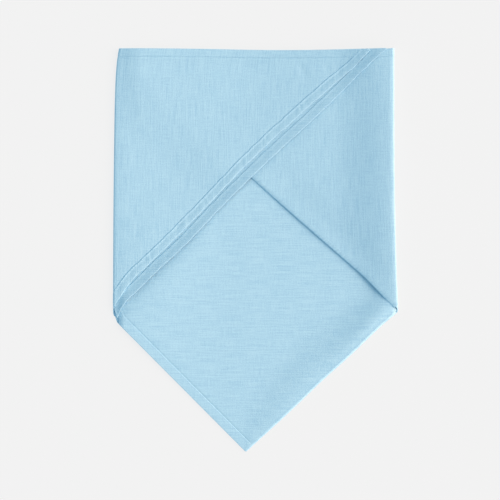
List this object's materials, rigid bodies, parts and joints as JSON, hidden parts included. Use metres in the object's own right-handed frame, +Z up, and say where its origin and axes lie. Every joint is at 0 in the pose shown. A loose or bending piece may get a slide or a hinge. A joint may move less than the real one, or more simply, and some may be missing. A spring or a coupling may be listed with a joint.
{
  "type": "folded triangular neckerchief",
  "caption": "Triangular woven cotton neckerchief with hemmed edges, folded flat into a pentagon with a diagonal hem band.",
  "frame": {"origin": "middle of the folded bundle's box, on the surface that it lies on", "axes": "+Z up from the surface, +Y from the folded tip to the straight top edge, +X to the right"},
  "size_m": [0.2466, 0.3502, 0.0115],
  "materials": {
    "cotton": "matte plain-woven cotton, light blue"
  },
  "bodies": {
    "root": {"cloth": "cotton", "long_hem_front": "cotton", "long_hem_back": "cotton", "short_hem_front": "cotton", "short_hem_back": "cotton"}
  },
  "joints": []
}
